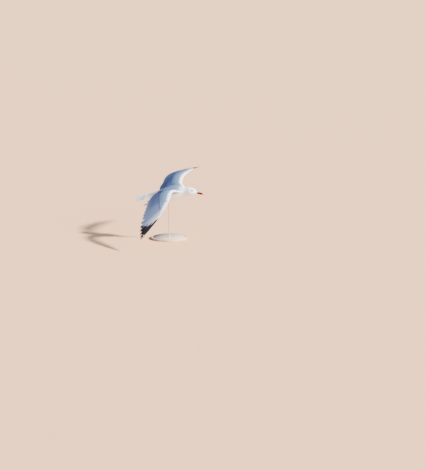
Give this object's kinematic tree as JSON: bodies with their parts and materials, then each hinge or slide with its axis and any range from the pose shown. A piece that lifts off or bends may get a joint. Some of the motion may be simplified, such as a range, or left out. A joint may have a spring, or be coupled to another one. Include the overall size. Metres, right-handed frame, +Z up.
{
  "type": "life-size adult Audouin's gull gliding with bowed wings, on a display stand",
  "caption": "Still life-size model of a small grey and white gull gliding low, banked to its right with bowed wings and trailing legs, held by a rod on a round base.",
  "frame": {"origin": "centre of the flat underside of the stand's base", "axes": "+X the way the bird flies, towards its bill; +Y to the bird's left; +Z up"},
  "size_m": [0.4869, 1.0371, 0.4272],
  "materials": {
    "white_feather": "soft matt white plumage of head, breast, belly and tail",
    "grey_feather": "soft matt pale blue-grey plumage of mantle and upper wing",
    "black_feather": "black outer primaries with small white tips",
    "bill_horn": "satin dark red horn with a black band before a paler tip",
    "eye": "wet dark brown eye",
    "leg_skin": "scaled dark grey-olive skin of tarsi, toes and webs",
    "stand_wood": "pale oiled wood",
    "stand_steel": "brushed steel rod"
  },
  "bodies": {
    "root": {"head": "white_feather", "neck": "white_feather", "trunk": "white_feather", "tail": "white_feather", "bill_upper": "bill_horn", "bill_lower": "bill_horn", "eye_left": "eye", "wing_inner_left": "grey_feather", "wing_outer_left": "grey_feather", "wing_tip_left": "black_feather", "thigh_left": "white_feather", "tarsus_left": "leg_skin", "foot_left": "leg_skin", "eye_right": "eye", "wing_inner_right": "grey_feather", "wing_outer_right": "grey_feather", "wing_tip_right": "black_feather", "thigh_right": "white_feather", "tarsus_right": "leg_skin", "foot_right": "leg_skin", "stand_base": "stand_wood", "stand_rod": "stand_steel"}
  },
  "joints": []
}
